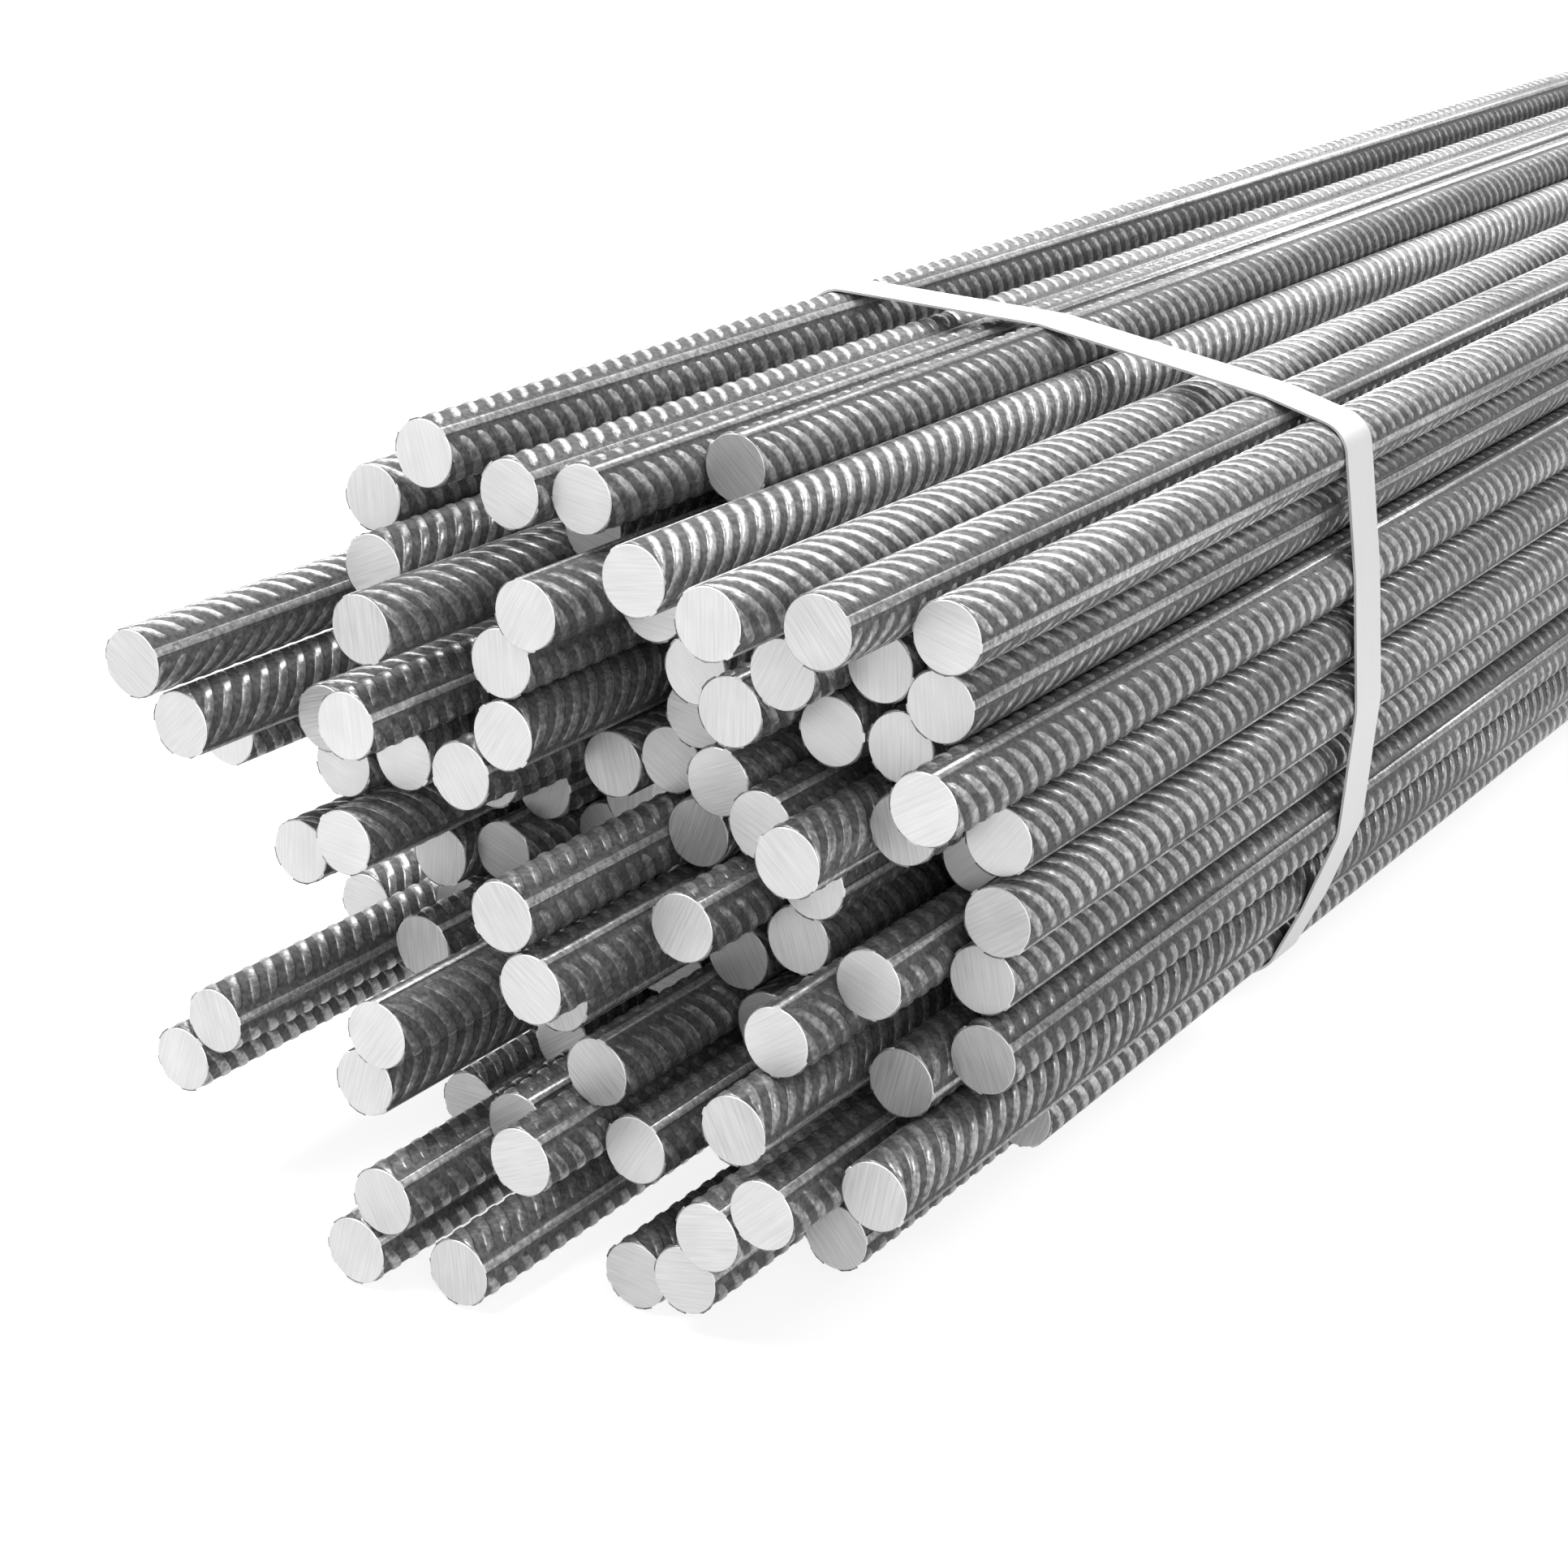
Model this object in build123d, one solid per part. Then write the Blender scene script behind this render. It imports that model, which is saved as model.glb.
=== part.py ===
from build123d import *
from itertools import combinations
import math
import os

os.makedirs("parts", exist_ok=True)

# Bundle of ribbed reinforcing bars, tied with steel strapping and lying on a level floor.
# X runs along the bars, with the ends that stick out unevenly at the low side of X.
# Y is to the left and Z up, seen from those ends. The origin is under the bundle's middle.

# Driving dimensions in millimetres
bar_diameter = 20.0         # nominal size of the bar
rib_height = 0.3            # how far a rib stands above the nominal circle
bar_length = 6000.0         # stock length, the same for every bar
bar_clearance = 0.4         # air between neighbouring bars, rib to rib
strap_width = 20.0
strap_thickness = 0.8
strap_clearance = 0.3       # air between a strap and the bars it holds
strap_count = 4
first_strap_back = 325.0    # from the foremost bar end to the middle of the first strap

# A bar is drawn at its size over the ribs, and a seat is one bar and the air beside it
bar_radius = bar_diameter / 2 + rib_height
seat_pitch = 2 * bar_radius + bar_clearance
strap_gauge = strap_thickness + strap_clearance

# The courses from the floor up. Each bar has its place to the right of the middle and above
# the bottom course, both in seats, and how far its end lies back, in millimetres.
courses = [
    [(-3.5, 0.0, 120), (-2.1, 0.0, 25), (-0.2, 0.0, 30), (1.6, 0.0, 55), (2.5, 0.3, 50)],
    [(-4.3, 0.8, 160), (-2.3, 0.8, 140), (-1.4, 1.1, 25), (0.0, 0.8, 155), (3.8, 0.6, 85),
     (4.6, 1.1, 160)],
    [(-6.9, 1.8, 160), (-6.1, 1.5, 50), (-3.6, 1.5, 160), (-2.4, 2.1, 40), (-0.7, 1.5, 65),
     (0.3, 1.6, 35), (1.3, 1.7, 60), (2.7, 2.1, 170), (3.0, 1.3, 45), (3.9, 1.7, 45),
     (5.1, 2.0, 60)],
    [(-5.5, 2.2, 50), (-4.5, 2.5, 145), (-3.5, 2.9, 100), (-1.1, 2.2, 155), (-0.3, 2.4, 135),
     (0.8, 2.5, 60), (2.0, 2.6, 115), (3.4, 2.8, 45), (4.6, 2.9, 90)],
    [(-5.4, 3.0, 220), (-4.3, 3.7, 130), (-3.4, 3.8, 135), (-1.8, 3.1, 35), (-0.9, 3.1, 160),
     (0.1, 3.5, 65), (1.3, 3.5, 115), (2.5, 3.4, 145), (3.6, 3.8, 60), (5.6, 3.3, 100)],
    [(-5.1, 4.2, 85), (-2.9, 4.6, 145), (-2.2, 4.0, 160), (-1.6, 4.6, 155), (0.7, 4.2, 35),
     (2.8, 4.3, 100), (4.4, 4.4, 80), (5.4, 4.3, 105)],
    [(-5.7, 4.8, 145), (-3.9, 4.7, 75), (-0.8, 5.0, 150), (0.3, 5.2, 35), (2.0, 4.7, 70),
     (3.1, 5.2, 95), (4.6, 5.4, 130), (5.7, 5.2, 100)],
    [(-6.3, 5.9, 80), (-4.5, 5.6, 90), (-3.4, 5.9, 90), (-2.4, 5.6, 105), (-1.6, 6.2, 70),
     (-0.7, 5.9, 115), (0.3, 6.2, 115), (1.1, 5.6, 100), (1.7, 6.3, 95), (2.6, 6.1, 85),
     (3.6, 6.1, 65), (5.6, 6.2, 105)],
    [(-5.4, 6.7, 45), (-4.1, 6.5, 75), (-3.0, 6.9, 55), (-0.9, 6.9, 70), (0.9, 7.0, 110),
     (4.6, 6.4, 90), (5.6, 7.1, 65)],
    [(-5.8, 7.5, 35), (-3.6, 7.6, 175), (-2.1, 7.4, 160), (-0.9, 7.8, 70), (0.0, 7.4, 150),
     (1.4, 7.8, 95), (2.3, 7.8, 80), (3.3, 7.4, 100), (4.5, 7.3, 95)],
    [(-5.0, 8.1, 160), (-3.5, 8.6, 85), (-2.7, 8.3, 55), (-1.6, 8.9, 135), (-0.3, 8.7, 65),
     (0.7, 8.6, 95), (2.1, 8.7, 160), (3.1, 8.2, 80), (4.0, 8.3, 95), (5.1, 8.1, 90)],
    [(-4.3, 9.3, 105), (-2.5, 9.3, 160), (1.4, 9.4, 65), (3.0, 9.2, 50), (4.4, 9.4, 55),
     (5.3, 9.0, 85)],
    [(-3.0, 10.2, 95), (-1.4, 9.9, 90), (-0.4, 9.9, 95), (0.6, 10.0, 140)],
]
settle_rounds = 600
settle_reach = 2.0          # bars further apart than this many seats never meet
drawn_reach = 1.35          # and further apart than this they aren't drawn to each other
neighbour_count = 2         # neighbours that a bar is drawn to while the straps are tightened
drawn_share = 0.6           # share of the rounds in which it is drawn to them
tightening = 0.1            # share of a gap that closes in a round


def settled(seats):
    """The centre of each bar once the bundle has been shaken down and strapped.

    Bars that are too near each other are pushed apart, and at first each bar is also drawn to
    its nearest neighbours. The bottom course stays on the floor."""
    centres = [[across * seat_pitch, up * seat_pitch] for across, up, back in seats]
    on_floor = [up == 0.0 for across, up, back in seats]
    pairs = [(one, other) for one, other in combinations(range(len(centres)), 2)
             if math.dist(centres[one], centres[other]) < settle_reach * seat_pitch]
    for step in range(settle_rounds):
        spacing = [[] for centre in centres]
        for one, other in pairs:
            gap = math.dist(centres[one], centres[other])
            spacing[one].append(gap)
            spacing[other].append(gap)
        drawn = step < settle_rounds * drawn_share
        reach = [min(sorted(gaps)[neighbour_count - 1], drawn_reach * seat_pitch) if drawn else 0.0
                 for gaps in spacing]
        moved = [list(centre) for centre in centres]
        for one, other in pairs:
            across, up = (centres[other][axis] - centres[one][axis] for axis in (0, 1))
            gap = math.hypot(across, up)
            excess = gap - seat_pitch
            if excess < 0:
                share = excess / gap / 2
            elif gap <= max(reach[one], reach[other]):
                share = tightening * excess / gap / 2
            else:
                continue
            for bar_number, way in ((one, 1), (other, -1)):
                moved[bar_number][0] += way * share * across
                moved[bar_number][1] += way * share * up
        centres = [[across, 0.0 if flat else max(up, 0.0)]
                   for (across, up), flat in zip(moved, on_floor)]
    return [tuple(centre) for centre in centres]


def turn(corner, first, second):
    """Which way the outline turns at a corner: more than 0 to the left."""
    return ((first[0] - corner[0]) * (second[1] - corner[1])
            - (first[1] - corner[1]) * (second[0] - corner[0]))


def outermost(centres):
    """The bars that a strap pulled tight bears on, in order around the bundle."""
    outline = []
    for way in (1, -1):
        side = []
        for centre in sorted(centres, reverse=way < 0):
            while len(side) > 1 and turn(side[-2], side[-1], centre) <= 0:
                side.pop()
            side.append(centre)
        outline += side[:-1]
    return outline


def bar(centre, back):
    """One bar, with its front end set back from the foremost end."""
    start = Plane(origin=(front + back, -centre[0], floor_to_centre + centre[1]), z_dir=(1, 0, 0))
    return extrude(start * Circle(bar_radius), bar_length)


def band(offset_inside, offset_outside, middle, width):
    """A closed band around the outermost bars."""
    path = Polygon(*[(-across, up) for across, up in outline], align=None)
    ring = offset(path, offset_outside, kind=Kind.ARC) - offset(path, offset_inside, kind=Kind.ARC)
    start = Plane(origin=(middle - width / 2, 0, floor_to_centre), x_dir=(0, 1, 0), z_dir=(1, 0, 0))
    return extrude(start * ring, width)


seats = [seat for course in courses for seat in course]
foremost = min(back for across, up, back in seats)
hindmost = max(back for across, up, back in seats)
overall = bar_length + hindmost - foremost
front = -overall / 2
floor_to_centre = bar_radius + strap_gauge
centres = settled(seats)
outline = outermost(centres)
shift = (min(across for across, up in centres) + max(across for across, up in centres)) / 2
centres = [(across - shift, up) for across, up in centres]
outline = [(across - shift, up) for across, up in outline]

# The bars, one file for each course
count = 0
for number, course in enumerate(courses, 1):
    bars = [bar(centres[count + place], seat[2] - foremost) for place, seat in enumerate(course)]
    count += len(course)
    export_step(Compound(children=bars), f"parts/bars_course_{number:02d}.step")

# The straps, evenly spaced between the first and its twin near the far end
first_middle = front + first_strap_back
strap_spacing = -2 * first_middle / (strap_count - 1)
inside = bar_radius + strap_clearance
for number in range(strap_count):
    strap = band(inside, inside + strap_thickness, first_middle + number * strap_spacing, strap_width)
    export_step(strap, f"parts/strap_{number + 1}.step")

gaps = [min(math.dist(one, other) for other in centres if other != one) - 2 * bar_radius for one in centres]
weight_across = sum(across for across, up in centres) / len(centres)
floor_bars = [across for across, up in centres if up == 0.0]
print(f"weight at {weight_across:.1f}, floor bars from {min(floor_bars):.1f} to {max(floor_bars):.1f} mm across")
print(f"{len(centres)} bars, nearest gaps {min(gaps):.2f} to {max(gaps):.2f} mm, overall {overall:.0f} mm")
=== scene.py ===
import math
import random

import bmesh
import bpy
import numpy as np
from mathutils import Matrix, Vector


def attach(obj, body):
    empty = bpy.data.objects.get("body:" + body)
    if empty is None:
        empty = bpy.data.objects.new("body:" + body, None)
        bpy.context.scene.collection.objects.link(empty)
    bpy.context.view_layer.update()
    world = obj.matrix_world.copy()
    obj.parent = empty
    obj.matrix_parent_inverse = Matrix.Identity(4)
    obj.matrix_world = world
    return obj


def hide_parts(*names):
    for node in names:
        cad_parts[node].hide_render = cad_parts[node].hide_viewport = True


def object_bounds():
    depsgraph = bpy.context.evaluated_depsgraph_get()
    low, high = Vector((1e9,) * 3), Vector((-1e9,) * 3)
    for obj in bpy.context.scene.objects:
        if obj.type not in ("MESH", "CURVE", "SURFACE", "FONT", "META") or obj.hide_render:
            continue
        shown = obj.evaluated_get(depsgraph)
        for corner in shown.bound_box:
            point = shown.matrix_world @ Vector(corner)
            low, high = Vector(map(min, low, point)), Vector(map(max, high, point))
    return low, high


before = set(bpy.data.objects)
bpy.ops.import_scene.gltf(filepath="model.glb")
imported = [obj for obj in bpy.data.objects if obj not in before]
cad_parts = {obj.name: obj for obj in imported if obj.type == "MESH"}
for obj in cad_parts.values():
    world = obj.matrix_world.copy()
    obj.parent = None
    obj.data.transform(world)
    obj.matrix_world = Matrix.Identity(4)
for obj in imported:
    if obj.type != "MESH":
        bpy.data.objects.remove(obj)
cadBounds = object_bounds()
millimetre = 0.001

courseNames = sorted(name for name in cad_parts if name.startswith("bars_course"))
strapNames = sorted(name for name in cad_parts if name.startswith("strap"))
print("frame loaded:", len(courseNames), "courses of bars and", len(strapNames), "straps")


class Wire:  # an output socket that can be added, multiplied and so on, each step a Math node
    def __init__(self, tree, socket=None):
        self.tree = tree
        self.socket = socket

    def node(self, kind, settings=(), sockets=(), out=0):
        made = self.tree.nodes.new(kind)
        for name, value in dict(settings).items():
            setattr(made, name, value)
        for name, value in dict(sockets).items():
            if isinstance(value, Wire):
                self.tree.links.new(value.socket, made.inputs[name])
            else:
                made.inputs[name].default_value = value
        return Wire(self.tree, made.outputs[out] if made.outputs else None)

    def math(self, operation, *values):
        return self.node("ShaderNodeMath", {"operation": operation}, enumerate(values))

    def __add__(self, other):
        return self.math("ADD", self, other)

    def __sub__(self, other):
        return self.math("SUBTRACT", self, other)

    def __rsub__(self, other):
        return self.math("SUBTRACT", other, self)

    def __mul__(self, other):
        return self.math("MULTIPLY", self, other)

    def __truediv__(self, other):
        return self.math("DIVIDE", self, other)

    def __pow__(self, other):
        return self.math("POWER", self, other)

    def __abs__(self):
        return self.math("ABSOLUTE", self)

    __radd__ = __add__
    __rmul__ = __mul__

    def fract(self):
        return self.math("FRACT", self)

    def floor(self):
        return self.math("FLOOR", self)

    def larger(self, other):
        return self.math("MAXIMUM", self, other)

    def step(self, low, high):  # 0 below low, 1 above high, smooth between them
        sockets = {"Value": self, "From Min": low, "From Max": high}
        return self.node("ShaderNodeMapRange", {"interpolation_type": "SMOOTHSTEP"}, sockets)

    def between(self, low, high):  # a share from 0 to 1 becomes a value from low to high
        return self * (high - low) + low


def newMaterial(name):
    material = bpy.data.materials.new(name)
    material.use_nodes = True
    material.node_tree.nodes.clear()
    return material, Wire(material.node_tree)


def greyOf(value):  # a number becomes a grey colour
    return value.node("ShaderNodeCombineColor", (), {"Red": value, "Green": value, "Blue": value})


def attributeOf(at, name):
    return at.node("ShaderNodeAttribute", {"attribute_name": name}, out="Fac")


def noiseOf(at, vector, scale, detail, roughness):
    sockets = {"Vector": vector, "Scale": scale, "Detail": detail, "Roughness": roughness}
    return at.node("ShaderNodeTexNoise", (), sockets)


def stretched(at, vector, amounts):
    return at.node("ShaderNodeMapping", (), {"Vector": vector, "Scale": amounts})


def bumpOf(at, height, depth):
    return at.node("ShaderNodeBump", (), {"Height": height, "Distance": depth, "Strength": 1.0})


# The rib pattern of the bars, and how far it is modelled before it goes on as relief in the finish
ribPattern = {
    "pitch": 8.0 * millimetre,
    "coreRadius": 9.95 * millimetre,
    "ribHeight": 0.45 * millimetre,
    "ribFoot": 6.2 * millimetre,        # width of a cross rib where it leaves the core
    "ribCrest": 2.4 * millimetre,
    "slant": 20.0 * millimetre,         # how far a rib runs along the bar on its way round
    "firstAngle": 8.0,                  # degrees from a lengthwise rib to where a cross rib starts
    "swellPower": 7,                    # the higher, the longer a rib keeps its full height
    "sunkFoot": 0.25 * millimetre,      # how deep its foot and its tips go into the core
    "sunkTip": 0.10 * millimetre,
    "lengthwiseFoot": 3.0 * millimetre,
    "lengthwiseCrest": 2.2 * millimetre,
    "lengthwiseHeight": 0.4 * millimetre,
    "stations": 11,
    "unevenness": 0.12 * millimetre,
    "unevenSeed": 3,
    "seed": 11,
    "modelled": {"inner": 0.22, "outer": 0.62, "top": 1.02},  # metres behind the foremost end
}

# Rolled steel: dark scale on the core, worn to brighter steel on the ribs
rolledLook = {
    "streaks": (9, 160, 160), "scale": 420, "grain": (900, 2600, 2600), "mottle": 650,
    "bare": (0.38, 0.66),               # where the scale has come off, from the noise
    "shade": (0.10, 0.43),              # of the scale and of worn steel
    "mottled": (0.65, 1.35),
    "roughness": (0.24, 0.42),          # of worn steel and of the scale
    "metal": (0.10, 0.52),              # of the scale and of worn steel
    "specular": 0.25,
    "reliefDepth": 0.1 * millimetre,
    "farRib": 4,                        # height of a rib in the finish, in relief depths
}


def ribRelief(at):  # the cross ribs of a bar as a height from 0 to 1, in the pattern of the modelled ones
    way = at.node("ShaderNodeUVMap", {"uv_map": "barUv"})
    split = at.node("ShaderNodeSeparateXYZ", (), {"Vector": way}).socket.node
    around, along = (Wire(at.tree, split.outputs[axis]) for axis in "XY")
    row = (around * 2).floor()
    share = (around * 2).fract() * 180 - ribPattern["firstAngle"]
    share = share / (180 - 2 * ribPattern["firstAngle"])
    slant = ribPattern["slant"] / ribPattern["pitch"]
    phase = along - row * 0.5 - (share - 0.5) * (1 - row * 2) * slant
    apart = abs((phase + 0.5).fract() - 0.5) * ribPattern["pitch"]
    flank = 1 - apart.step(ribPattern["ribCrest"] / 2, ribPattern["ribFoot"] / 2)
    swell = 1 - abs(share * 2 - 1) ** ribPattern["swellPower"]
    return flank * swell.larger(0.0)


def rolledSteel(name, carriesRibs):
    look = rolledLook
    material, at = newMaterial(name)
    place = at.node("ShaderNodeTexCoord", out="Object")
    streaks = noiseOf(at, stretched(at, place, look["streaks"]), 1.0, 3, 0.6)
    scale = noiseOf(at, place, look["scale"], 3, 0.55)
    grain = noiseOf(at, stretched(at, place, look["grain"]), 1.0, 2, 0.6)
    mottle = noiseOf(at, place, look["mottle"], 2, 0.6)
    crest = attributeOf(at, "crest")
    height = grain * 0.06 + scale * 0.12 + mottle * 0.55
    if carriesRibs:
        rib = ribRelief(at)
        crest = rib + crest
        height = rib * look["farRib"] + height
    bare = (streaks * 0.6 + scale * 0.4).step(*look["bare"])
    worn = (crest * bare.between(0.55, 0.85) + bare * 0.35).step(0.0, 1.1)
    # the tone attribute scales the bar's colour: painted shade on inner bars, painted light on bars on
    # top, and a random spread
    shade = worn.between(*look["shade"]) * attributeOf(at, "tone")
    shade = shade * mottle.step(0.3, 0.7).between(*look["mottled"])
    surface = at.node("ShaderNodeBsdfPrincipled", (), {
        "Base Color": greyOf(shade),
        "Roughness": (1 - worn).between(*look["roughness"]) + (grain - 0.5) * 0.12,
        "Metallic": worn.between(*look["metal"]),
        "Specular IOR Level": look["specular"],
        "Normal": bumpOf(at, height, look["reliefDepth"])})
    at.node("ShaderNodeOutputMaterial", (), {"Surface": surface})
    return material


# Sawn steel, on coordinates in millimetres across an end, with the saw's strokes along the first
sawnLook = {
    "strokes": (0.05, 1.5, 1), "fine": (0.10, 6.0, 1), "cloud": 0.09,
    "shade": (0.29, 0.74),              # of the darkest and the brightest ends
    "contrast": (2.2, 0.5),             # of the strokes on them
    "clouded": 0.12,
    "roughness": 0.45,
    "metal": 0.65,
    "reliefDepth": 0.06 * millimetre,
}


def sawnSteel(name):
    look = sawnLook
    material, at = newMaterial(name)
    way = at.node("ShaderNodeUVMap", {"uv_map": "barUv"})
    tone = attributeOf(at, "endTone")
    strokes = noiseOf(at, stretched(at, way, look["strokes"]), 1.0, 2, 0.6)
    fine = noiseOf(at, stretched(at, way, look["fine"]), 1.0, 2, 0.5)
    cloud = noiseOf(at, way, look["cloud"], 1, 0.5)
    lines = strokes * 0.6 + fine * 0.4
    shade = tone.between(*look["shade"]) + (cloud - 0.5) * look["clouded"]
    shade = shade * ((lines - 0.5) * tone.between(*look["contrast"]) + 1)
    surface = at.node("ShaderNodeBsdfPrincipled", (), {
        "Base Color": greyOf(shade),
        "Roughness": (lines - 0.5) * 0.3 + look["roughness"],
        "Metallic": look["metal"],
        "Normal": bumpOf(at, lines, look["reliefDepth"])})
    at.node("ShaderNodeOutputMaterial", (), {"Surface": surface})
    return material


strapLook = {
    "brush": (2600, 60, 60), "cloud": 14,
    "shade": 0.62,
    "roughness": 0.58,
    "metal": 0.85,
    "reliefDepth": 0.02 * millimetre,
}


def strapSteel(name):
    look = strapLook
    material, at = newMaterial(name)
    place = at.node("ShaderNodeTexCoord", out="Object")
    brushed = noiseOf(at, stretched(at, place, look["brush"]), 1.0, 2, 0.6)
    cloud = noiseOf(at, place, look["cloud"], 2, 0.5)
    shade = look["shade"] + (cloud - 0.5) * 0.08 + (brushed - 0.5) * 0.10
    surface = at.node("ShaderNodeBsdfPrincipled", (), {
        "Base Color": greyOf(shade),
        "Roughness": (brushed - 0.5) * 0.2 + look["roughness"],
        "Metallic": look["metal"],
        "Normal": bumpOf(at, brushed, look["reliefDepth"])})
    at.node("ShaderNodeOutputMaterial", (), {"Surface": surface})
    return material


barFinishes = [rolledSteel("rolledBarSteel", False), rolledSteel("rolledBarSteelFar", True),
               sawnSteel("sawnBarEnd")]
nearSkin, farSkin, sawnFace = range(3)  # their places on a bar's mesh
strapFinish = strapSteel("bandedStrapSteel")
print("finishes made")


def barsOf(node):  # every closed shell of a course is one bar
    mesh = bmesh.new()
    mesh.from_mesh(node.data)
    bmesh.ops.remove_doubles(mesh, verts=mesh.verts, dist=0.01 * millimetre)
    left, found = set(mesh.verts), []
    for first in mesh.verts:
        if first not in left:
            continue
        left.discard(first)
        shell = [first]
        for vert in shell:
            for edge in vert.link_edges:
                other = edge.other_vert(vert)
                if other in left:
                    left.discard(other)
                    shell.append(other)
        places = np.array([vert.co for vert in shell])
        found.append({"start": places[:, 0].min(), "end": places[:, 0].max(),
                      "y": places[:, 1].mean(), "z": places[:, 2].mean(),
                      "radius": np.ptp(places[:, 2]) / 2})
    mesh.free()
    return sorted(found, key=lambda bar: -bar["y"])


courses = {name: barsOf(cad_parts[name]) for name in courseNames}
allBars = [bar for name in courseNames for bar in courses[name]]
foremost = min(bar["start"] for bar in allBars)
print("bars found:", len(allBars))

# How the bars are dressed, apart from their ribs
barDress = {
    "bevel": 0.25 * millimetre,
    "bevelCrest": 0.6,                  # wear of the bevel and of the lengthwise ribs
    "lengthwiseWear": 0.95,
    "sides": 50,
    "neighbourReach": 1.45,             # in bar diameters
    "openArc": 118,                     # a bar with a wider free arc is an outer one
    "topWays": (20, 170),               # and lies on top if the arc faces between these
    # tone by layer is painted light and shade: bars on top are made lighter for the light from above,
    # inner bars darker for the shade inside the bundle
    "tone": {"inner": 0.95, "outer": 0.98, "top": 1.12},
    "toneSpread": 0.12,
    "endTone": {"dark": 0.45, "dull": 0.62, "bright": 0.85},
    "endSpread": 0.1,
}
# The way each bar is turned in the bundle: degrees from its right side up to a lengthwise rib,
# for bars counted from the left of a course. The others are turned at random.
turnsSeen = {
    "bars_course_01": {0: 30, 1: 30, 2: 22, 3: 20, 4: 20},
    "bars_course_02": {2: 45, 4: 10},
    "bars_course_03": {0: -40, 1: 45, 3: -50, 4: 60, 5: 50, 6: 52, 8: 58, 9: 52, 10: -35},
    "bars_course_04": {0: 12, 1: 100, 5: 80, 7: -20, 8: -10},
    "bars_course_05": {3: 90, 7: 15, 8: 88, 9: 32},
    "bars_course_06": {0: 140, 4: 62, 5: 100, 6: 50, 7: 140},
    "bars_course_07": {1: 140, 3: 32, 4: 52, 5: 0, 6: 132, 7: 135},
    "bars_course_08": {0: 100, 1: 68, 2: -40, 4: 20, 10: -30, 11: 132},
    "bars_course_09": {0: -48, 2: 22, 3: -45, 5: 30, 6: 71},
    "bars_course_10": {0: 205, 3: 30, 6: 75, 7: 0, 8: 38},
    "bars_course_11": {1: -45, 2: 118, 4: 100, 7: 60, 8: 165, 9: 192},
    "bars_course_12": {0: 118, 2: -52, 3: 130, 4: 205, 5: 172},
    "bars_course_13": {0: 45, 1: 37, 2: 63, 3: 78},
}
# Bars whose sawn ends are darker than the rest, and those that are a little duller
darkEnds = {
    "bars_course_02": (1, 3, 5), "bars_course_04": (2, 3, 4, 8), "bars_course_05": (2, 5),
    "bars_course_06": (1, 2, 3), "bars_course_08": (3, 5, 7),
    "bars_course_09": (5,), "bars_course_10": (1,),
}
dullEnds = {
    "bars_course_01": (0,), "bars_course_02": (4,), "bars_course_03": (10,), "bars_course_04": (5, 7),
    "bars_course_05": (1, 6, 7, 9), "bars_course_06": (5,), "bars_course_07": (2, 7),
    "bars_course_08": (6,), "bars_course_09": (1, 4), "bars_course_11": (2,),
    "bars_course_12": (4,), "bars_course_13": (3,),
}


def openSide(bar):  # the widest arc with no neighbour in it, in degrees, and the way it faces
    reach = bar["radius"] * 2 * barDress["neighbourReach"]
    ways = []
    for other in allBars:
        right, up = bar["y"] - other["y"], other["z"] - bar["z"]
        if other is not bar and math.hypot(right, up) < reach:
            ways.append(math.degrees(math.atan2(up, right)))
    if not ways:
        return 360, 90
    ways.sort()
    gaps = [((ways[(place + 1) % len(ways)] - way) % 360 or 360, way) for place, way in enumerate(ways)]
    widest, way = max(gaps)
    return widest, (way + widest / 2) % 360


def layerOf(bar):
    widest, facing = openSide(bar)
    if widest <= barDress["openArc"]:
        return "inner"
    low, high = barDress["topWays"]
    return "top" if low < facing < high else "outer"


def endOf(name, number):
    if number in darkEnds.get(name, ()):
        return "dark"
    return "dull" if number in dullEnds.get(name, ()) else "bright"


draw = random.Random(ribPattern["seed"])
for name in courseNames:
    for number, bar in enumerate(courses[name]):
        layer = layerOf(bar)
        firstRib = ribPattern["slant"] / 2 + ribPattern["ribFoot"] / 2 + barDress["bevel"] * 2
        bar["ribStart"] = bar["start"] + firstRib + draw.random() * ribPattern["pitch"]
        modelled = foremost + ribPattern["modelled"][layer] - bar["ribStart"]
        bar["ribCount"] = max(2, int(modelled / ribPattern["pitch"]))
        randomTurn = draw.uniform(0, 360)
        # a bar's tone: painted light on bars on top and painted shade on inner bars, by layer, plus a
        # random spread of its own
        spread = barDress["toneSpread"]
        bar["tone"] = barDress["tone"][layer] + draw.uniform(-spread, spread)
        bar["turn"] = turnsSeen.get(name, {}).get(number, randomTurn)
        spread = barDress["endSpread"]
        bar["endTone"] = barDress["endTone"][endOf(name, number)] + draw.uniform(-spread, spread)
        bar["sawTurn"] = draw.uniform(-90, 90)
        bar["sawShift"] = draw.uniform(0, 400)
print("bars on top:", sum(layerOf(bar) == "top" for bar in allBars))


def onBar(x, angle, radius, y=0.0, z=0.0):  # a place on a bar, its angle counted from the right side up
    return x, y - radius * math.cos(math.radians(angle)), z + radius * math.sin(math.radians(angle))


def profileOf(turn):  # one way round a bar, as angle, radius, share of the way round and crest
    core, wear = ribPattern["coreRadius"], barDress["lengthwiseWear"]
    foot = math.degrees(ribPattern["lengthwiseFoot"] / 2 / core)
    top = math.degrees(ribPattern["lengthwiseCrest"] / 2 / core)
    high = core + ribPattern["lengthwiseHeight"]
    half = [(0, high, wear), (top, high, wear), (foot, core, 0.0)]
    steps = barDress["sides"] // 2 - 4
    half += [(foot + (180 - 2 * foot) * step / steps, core, 0.0) for step in range(1, steps)]
    half += [(180 - foot, core, 0.0), (180 - top, high, wear)]
    return [(turn + angle + side, radius, (angle + side) / 360, crest)
            for side in (0, 180) for angle, radius, crest in half]


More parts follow.
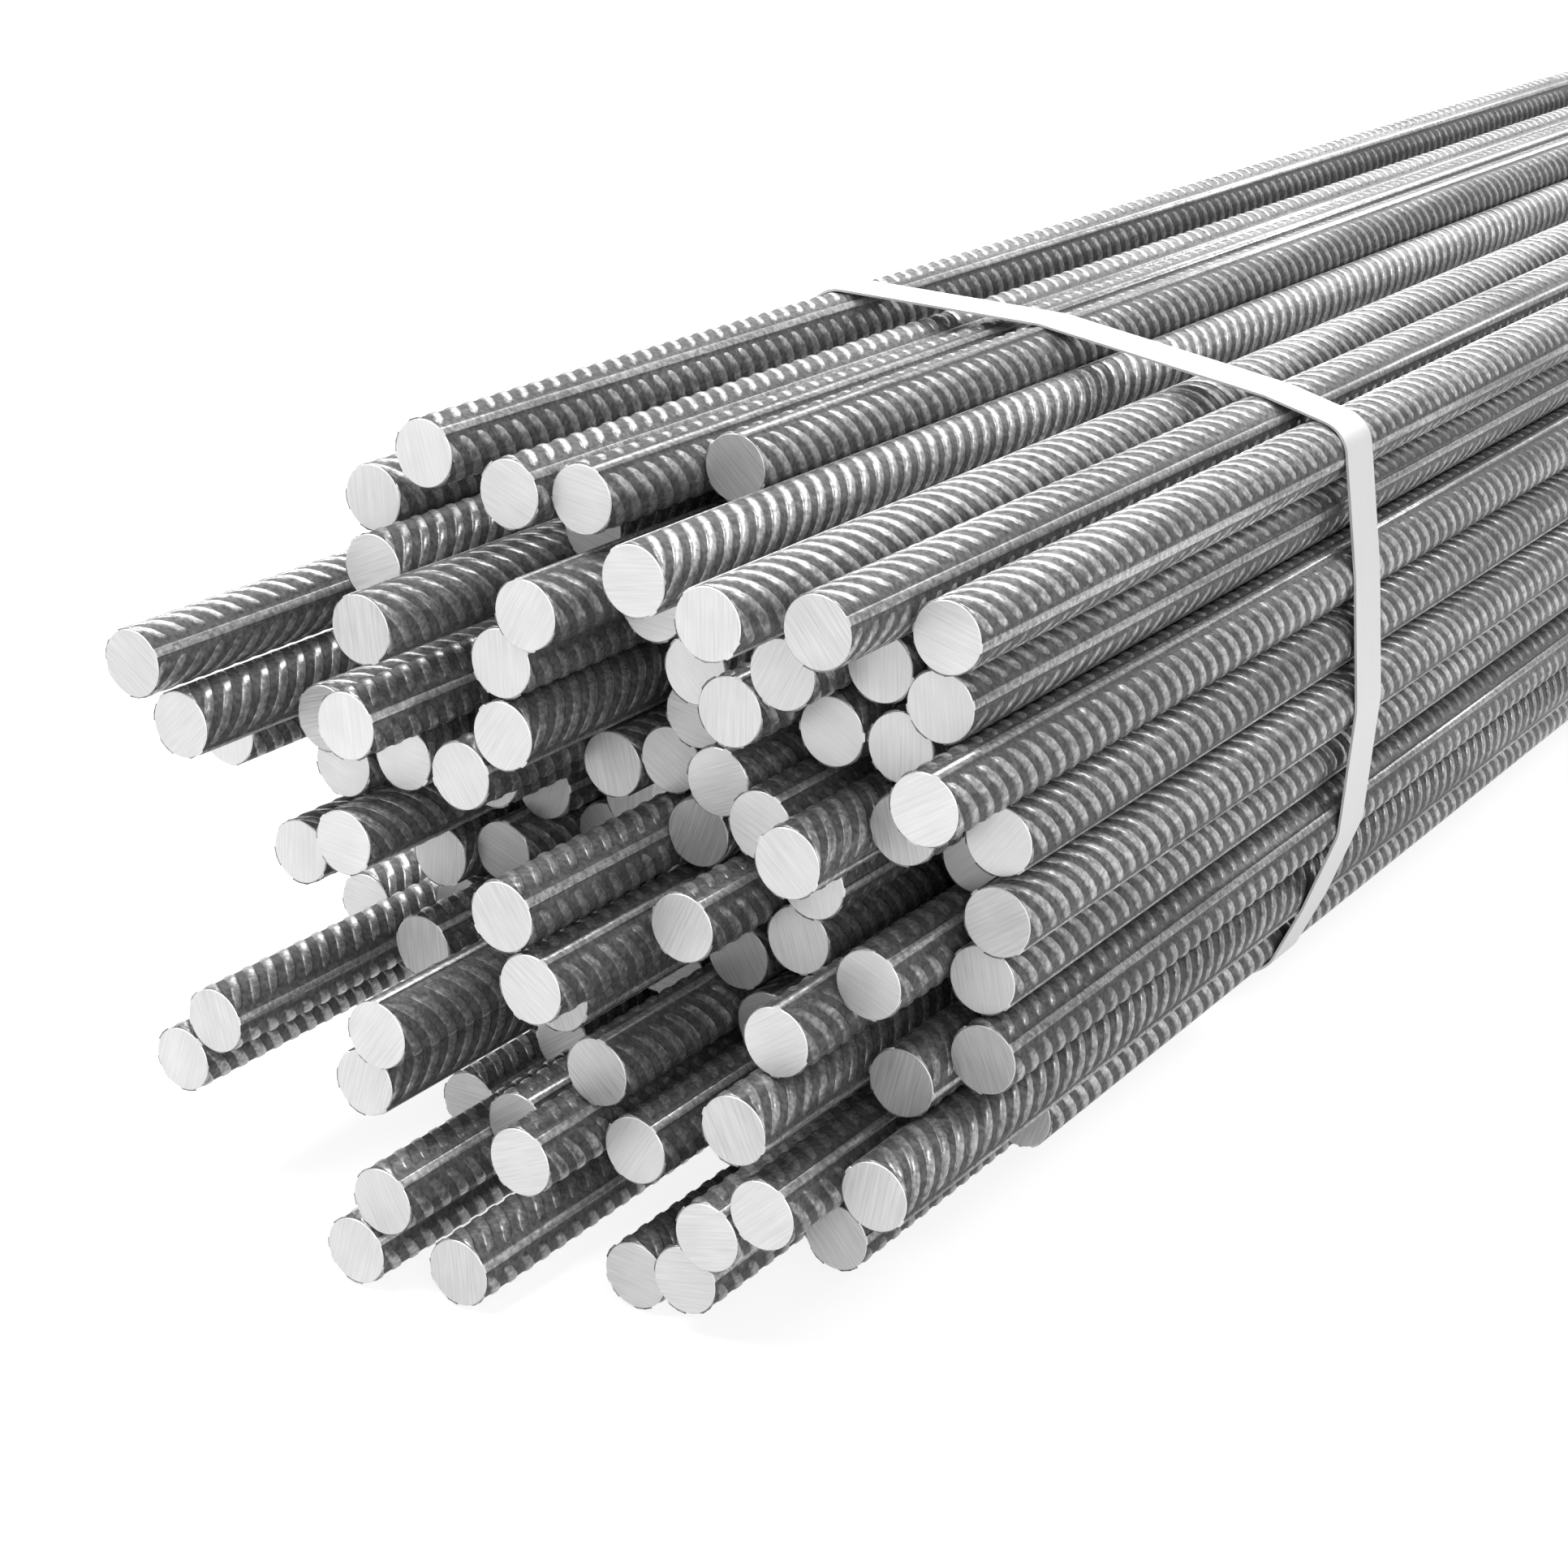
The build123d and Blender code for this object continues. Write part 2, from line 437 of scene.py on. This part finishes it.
def ribShape(way, saw=None):  # one crescent rib around x = 0, or what the saw has left of it
    settings = ribPattern
    core, slant = settings["coreRadius"], settings["slant"]
    low, high, stations = 0.0, 1.0, settings["stations"]
    if saw is not None:
        margin = settings["ribFoot"] * 0.45
        meets, beyond = (0.5 + (way * saw + side * margin) / slant for side in (-1, 1))
        low, high = (max(meets, 0.0), 1.0) if way > 0 else (0.0, min(beyond, 1.0))
        stations = max(2, round((stations - 1) * (high - low)) + 1) if high - low > 0.1 else 0
    sunk = core - settings["sunkFoot"]
    points, faces = [], []
    for station in range(stations):
        share = low + (high - low) * station / (stations - 1)
        angle = settings["firstAngle"] + (180 - 2 * settings["firstAngle"]) * share
        swell = 1 - abs(2 * share - 1) ** settings["swellPower"]
        middle = way * slant * (share - 0.5)
        foot = settings["ribFoot"] / 2 * (0.5 + 0.5 * swell)
        crest = settings["ribCrest"] / 2 * (0.5 + 0.5 * swell)
        top = core - settings["sunkTip"] + (settings["ribHeight"] + settings["sunkTip"]) * swell
        section = (-foot, sunk, 0), (-crest, top, swell), (crest, top, swell), (foot, sunk, 0)
        for x, radius, height in section:
            x = middle + x if saw is None else max(middle + x, saw)
            points.append((x, angle, radius, height))
    for station in range(stations - 1):
        for place in range(4):
            one, after = station * 4 + place, station * 4 + (place + 1) % 4
            faces.append((one, after, after + 4, one + 4))
    if stations:
        faces += [(3, 2, 1, 0), tuple(len(points) - 4 + place for place in range(4))]
    return points, faces


def addBody(made, bar):  # the round of a bar with its lengthwise ribs, bevels and sawn ends
    pitch, core, bevel = ribPattern["pitch"], ribPattern["coreRadius"], barDress["bevel"]
    profile = profileOf(bar["turn"])
    count, first = len(profile), len(made["points"])
    ribsEnd = bar["ribStart"] + (bar["ribCount"] - 0.25) * pitch
    rings = [(bar["start"], bevel), (bar["start"] + bevel, 0), (ribsEnd, 0),
             (bar["end"] - bevel, 0), (bar["end"], bevel)]
    for x, cut in rings:
        for angle, radius, share, crest in profile:
            made["points"].append(onBar(x, angle, core - cut if cut else radius, bar["y"], bar["z"]))
            made["crest"].append(barDress["bevelCrest"] if cut else crest)
    made["tone"] += [bar["tone"]] * count * len(rings)
    made["endTone"] += [bar["endTone"]] * count * len(rings)
    for ring, skin in enumerate((sawnFace, nearSkin, farSkin, sawnFace)):
        low, high = first + ring * count, first + (ring + 1) * count
        along = [(rings[ring + side][0] - bar["ribStart"]) / pitch for side in (0, 1)]
        for place in range(count):
            after = (place + 1) % count
            around = profile[place][2], profile[after][2] if after else 1.0
            made["faces"].append((low + place, high + place, high + after, low + after))
            made["uvs"] += [(around[0], along[0]), (around[0], along[1]),
                            (around[1], along[1]), (around[1], along[0])]
            made["skins"].append(skin)
            made["smooth"].append(skin != sawnFace and profile[place][1] == profile[after][1])
    for ring, way in ((0, 1), (len(rings) - 1, -1)):
        rim = [first + ring * count + place for place in range(count)][::way]
        addSawnFace(made, bar, rim, math.radians(bar["sawTurn"] * way))


def addSawnFace(made, bar, rim, turned):
    made["faces"].append(tuple(rim))
    made["skins"].append(sawnFace)
    made["smooth"].append(False)
    for point in rim:
        across = (made["points"][point][1] - bar["y"]) / millimetre
        up = (made["points"][point][2] - bar["z"]) / millimetre
        made["uvs"].append((across * math.cos(turned) + up * math.sin(turned) + bar["sawShift"],
                            up * math.cos(turned) - across * math.sin(turned) + bar["sawShift"]))


def addCutRibs(made, bar):  # the ribs at the front end that the saw has cut through
    pitch, slant = ribPattern["pitch"], ribPattern["slant"]
    for way, half, shift in ((1, 0, 0.0), (-1, 180, 0.5)):
        centre = bar["ribStart"] + (shift - 1) * pitch
        while centre > bar["start"] - slant / 2:
            shape, sides = ribShape(way, bar["start"] + barDress["bevel"] - centre)
            first = len(made["points"])
            for x, angle, radius, height in shape:
                turned = angle + bar["turn"] + half
                made["points"].append(onBar(centre + x, turned, radius, bar["y"], bar["z"]))
                made["crest"].append(height)
            made["tone"] += [bar["tone"]] * len(shape)
            made["endTone"] += [bar["endTone"]] * len(shape)
            made["faces"] += [tuple(first + corner for corner in side) for side in sides]
            made["uvs"] += [(0.0, 0.0)] * sum(len(side) for side in sides)
            made["skins"] += [nearSkin] * len(sides)
            made["smooth"] += [True] * len(sides)
            centre -= pitch


def addValues(mesh, name, values):  # an attribute with one number for each point
    mesh.attributes.new(name, "FLOAT", "POINT").data.foreach_set("value", np.array(values, np.float32))


def coreMesh(name, bars):  # the bars of a course without the cross ribs that are whole
    listed = "points", "faces", "uvs", "skins", "smooth", "crest", "tone", "endTone"
    made = {what: [] for what in listed}
    for bar in bars:
        addBody(made, bar)
        addCutRibs(made, bar)
    mesh = bpy.data.meshes.new(name)
    mesh.from_pydata(made["points"], [], made["faces"])
    for finish in barFinishes:
        mesh.materials.append(finish)
    mesh.polygons.foreach_set("material_index", made["skins"])
    mesh.polygons.foreach_set("use_smooth", made["smooth"])
    mesh.uv_layers.new(name="barUv").data.foreach_set("uv", np.array(made["uvs"], np.float32).ravel())
    for what in ("crest", "tone", "endTone"):
        addValues(mesh, what, made[what])
    mesh.update()
    return mesh


def ribMesh(name, way):
    points, faces = ribShape(way)
    mesh = bpy.data.meshes.new(name)
    mesh.from_pydata([onBar(*point[:3]) for point in points], [], faces)
    mesh.polygons.foreach_set("use_smooth", [True] * len(faces))
    addValues(mesh, "crest", [point[3] for point in points])
    return bpy.data.objects.new(name, mesh)


def axisLines(name, bars):  # the stretch of each bar that gets modelled ribs, as an edge
    spare = 0.02  # of a pitch, so that rounding doesn't lose the last rib
    points, edges, turns, tones = [], [], [], []
    for bar in bars:
        last = bar["ribStart"] + (bar["ribCount"] - 1 + spare) * ribPattern["pitch"]
        points += [(bar["ribStart"], bar["y"], bar["z"]), (last, bar["y"], bar["z"])]
        edges.append((len(points) - 2, len(points) - 1))
        turns += [math.radians(bar["turn"])] * 2
        tones += [bar["tone"]] * 2
    mesh = bpy.data.meshes.new(name)
    mesh.from_pydata(points, edges, [])
    addValues(mesh, "turn", turns)
    addValues(mesh, "tone", tones)
    return bpy.data.objects.new(name, mesh)


def ribTree():  # sets cross ribs in two rows along the bars' axes and joins them to the bars
    tree = bpy.data.node_groups.new("barRibs", "GeometryNodeTree")
    inputs = {"Bars": "Geometry", "Axes": "Object", "Near Rib": "Object", "Far Rib": "Object",
              "Pitch": "Float", "Unevenness": "Float", "Seed": "Int", "Finish": "Material"}
    for socket, kind in inputs.items():
        tree.interface.new_socket(socket, in_out="INPUT", socket_type="NodeSocket" + kind)
    tree.interface.new_socket("Dressed Bars", in_out="OUTPUT", socket_type="NodeSocketGeometry")
    at = Wire(tree)
    given = at.node("NodeGroupInput").socket.node
    given = {socket.name: Wire(tree, socket) for socket in given.outputs if socket.name}
    axes = at.node("GeometryNodeObjectInfo", (), {"Object": given["Axes"]}, "Geometry")
    curves = at.node("GeometryNodeMeshToCurve", (), {"Mesh": axes})
    spots = at.node("GeometryNodeResampleCurve", {"mode": "LENGTH"},
                    {"Curve": curves, "Length": given["Pitch"]})
    turn = at.node("GeometryNodeInputNamedAttribute", {"data_type": "FLOAT"},
                   {"Name": "turn"}, "Attribute")
    rows = []
    for rib, half, shift in (("Near Rib", 0.0, 0.0), ("Far Rib", math.pi, 0.5)):
        jitter = at.node("FunctionNodeRandomValue", {"data_type": "FLOAT"},
                         {"Min": -1.0, "Max": 1.0, "Seed": given["Seed"]}, 1)
        along = given["Pitch"] * shift + jitter * given["Unevenness"]
        offset = at.node("ShaderNodeCombineXYZ", (), {"X": along})
        moved = at.node("GeometryNodeSetPosition", (), {"Geometry": spots, "Offset": offset})
        angles = at.node("ShaderNodeCombineXYZ", (), {"X": 0 - turn - half})
        rotation = at.node("FunctionNodeEulerToRotation", (), {"Euler": angles})
        shape = at.node("GeometryNodeObjectInfo", (), {"Object": given[rib]}, "Geometry")
        rows.append(at.node("GeometryNodeInstanceOnPoints", (),
                            {"Points": moved, "Instance": shape, "Rotation": rotation}))
    ribs = at.node("GeometryNodeJoinGeometry")
    for row in reversed(rows):
        tree.links.new(row.socket, ribs.socket.node.inputs[0])
    ribs = at.node("GeometryNodeRealizeInstances", (), {"Geometry": ribs})
    ribs = at.node("GeometryNodeSetMaterial", (), {"Geometry": ribs, "Material": given["Finish"]})
    whole = at.node("GeometryNodeJoinGeometry")
    for part in (ribs, given["Bars"]):
        tree.links.new(part.socket, whole.socket.node.inputs[0])
    at.node("NodeGroupOutput", (), {"Dressed Bars": whole})
    return tree


def dressedCourse(name, tree, nearRib, farRib):  # the bars of a course with all their ribs, as one mesh
    bare = bpy.data.objects.new(name + "_bare", coreMesh(name + "_bare", courses[name]))
    axes = axisLines(name + "_axes", courses[name])
    for thing in (bare, axes):
        bpy.context.scene.collection.objects.link(thing)
    modifier = bare.modifiers.new("ribs", "NODES")
    modifier.node_group = tree
    values = {"Axes": axes, "Near Rib": nearRib, "Far Rib": farRib, "Pitch": ribPattern["pitch"],
              "Unevenness": ribPattern["unevenness"], "Seed": ribPattern["unevenSeed"],
              "Finish": barFinishes[nearSkin]}
    for item in tree.interface.items_tree:
        if item.in_out == "INPUT" and item.name in values:
            modifier[item.identifier] = values[item.name]
    depsgraph = bpy.context.evaluated_depsgraph_get()
    mesh = bpy.data.meshes.new_from_object(bare.evaluated_get(depsgraph), depsgraph=depsgraph)
    bare.modifiers.remove(modifier)
    for thing in (bare, axes):
        bpy.data.objects.remove(thing)
    mesh.name = "dressed_" + name
    return mesh


nearRib, farRib = ribMesh("nearRib", 1), ribMesh("farRib", -1)
tree = ribTree()
triangleTotal = 0
for name in courseNames:
    mesh = dressedCourse(name, tree, nearRib, farRib)
    piece = bpy.data.objects.new("dressed_" + name, mesh)
    bpy.context.scene.collection.objects.link(piece)
    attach(piece, "root")
    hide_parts(name)
    mesh.calc_loop_triangles()
    triangleTotal += len(mesh.loop_triangles)
    print(piece.name, len(mesh.loop_triangles), "triangles")
for thing in (nearRib, farRib):
    bpy.data.objects.remove(thing)
print("bars dressed, triangles in all:", triangleTotal)

for name in strapNames:
    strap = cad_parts[name]
    strap.data.materials.clear()
    strap.data.materials.append(strapFinish)
print("straps finished")

# Camera: metres in front of the foremost end, to the left of the middle and above the floor
cameraPlace = {"front": 0.605, "left": -0.4932, "up": 0.4304, "forward": (0.7990, 0.5008, -0.3329),
               "lens": 71.74, "sensor": 36}


def placeCamera():
    made = bpy.data.cameras.new("camera")
    made.sensor_fit = "HORIZONTAL"
    made.sensor_width = cameraPlace["sensor"]
    made.lens = cameraPlace["lens"]
    made.clip_start, made.clip_end = 0.05, 200
    camera = bpy.data.objects.new("camera", made)
    bpy.context.scene.collection.objects.link(camera)
    forward = Vector(cameraPlace["forward"]).normalized()
    right = forward.cross(Vector((0, 0, 1))).normalized()
    up = right.cross(forward)
    turned = Matrix((right, up, -forward)).transposed().to_4x4()
    place = Vector((foremost - cameraPlace["front"], cameraPlace["left"], cameraPlace["up"]))
    camera.matrix_world = Matrix.Translation(place) @ turned
    bpy.context.scene.camera = camera


# Studio: a pale floor, a white surround and soft lamps, each with its strength, width and way
studio = {
    "surround": 0.16,
    "floor": 0.40,
    "glow": 0.85,
    "floorSize": 60,
    "lamps": {
        "key": (1.75, 35, (-0.72, -0.08, -0.69)),
        "above": (2.6, 40, (0.20, -0.32, -0.92)),
        "fill": (1.0, 40, (0.72, 0.60, -0.35)),
        "side": (0.70, 16, (-0.55, 0.50, -0.67)),
        "left": (0.60, 20, (-0.72, -0.52, -0.46)),
    },
}


def seenDirectly(at):  # 1 where the camera, a reflection or glass shows it, 0 where it lights
    camera, glossy, through = (at.node("ShaderNodeLightPath", out=ray) for ray in
                               ("Is Camera Ray", "Is Glossy Ray", "Is Transmission Ray"))
    return camera.larger(glossy).larger(through)


def makeFloor():
    size, level, height = studio["floorSize"], studio["floor"], cadBounds[0].z
    corners = [(x * size, y * size, height) for x, y in ((-1, -1), (1, -1), (1, 1), (-1, 1))]
    mesh = bpy.data.meshes.new("floor")
    mesh.from_pydata(corners, [], [(0, 1, 2, 3)])
    floor = bpy.data.objects.new("floor", mesh)
    bpy.context.scene.collection.objects.link(floor)
    material, at = newMaterial("paleFloor")
    diffuse = at.node("ShaderNodeBsdfDiffuse", (), {"Color": (level, level, level, 1)})
    glow = seenDirectly(at) * studio["glow"]
    glow = at.node("ShaderNodeEmission", (), {"Color": (1, 1, 1, 1), "Strength": glow})
    both = at.node("ShaderNodeAddShader", (), {0: diffuse, 1: glow})
    at.node("ShaderNodeOutputMaterial", (), {"Surface": both})
    mesh.materials.append(material)


def makeSurround():
    world, level = bpy.data.worlds.new("studio"), studio["surround"]
    bpy.context.scene.world = world
    world.use_nodes = True
    world.node_tree.nodes.clear()
    at = Wire(world.node_tree)
    dim = at.node("ShaderNodeBackground", (), {"Color": (level, level, level, 1), "Strength": 1.0})
    white = at.node("ShaderNodeBackground", (), {"Color": (1, 1, 1, 1), "Strength": 1.0})
    mixed = at.node("ShaderNodeMixShader", (), {0: seenDirectly(at), 1: dim, 2: white})
    at.node("ShaderNodeOutputWorld", (), {"Surface": mixed})


def makeLamps():
    for name, (strength, width, way) in studio["lamps"].items():
        lamp = bpy.data.lights.new(name, "SUN")
        lamp.energy = strength
        lamp.angle = math.radians(width)
        made = bpy.data.objects.new(name, lamp)
        made.rotation_euler = Vector(way).to_track_quat("-Z", "Y").to_euler()
        bpy.context.scene.collection.objects.link(made)


placeCamera()
makeFloor()
makeSurround()
makeLamps()
bpy.context.scene.view_settings.view_transform = "Standard"
print("studio and camera set")
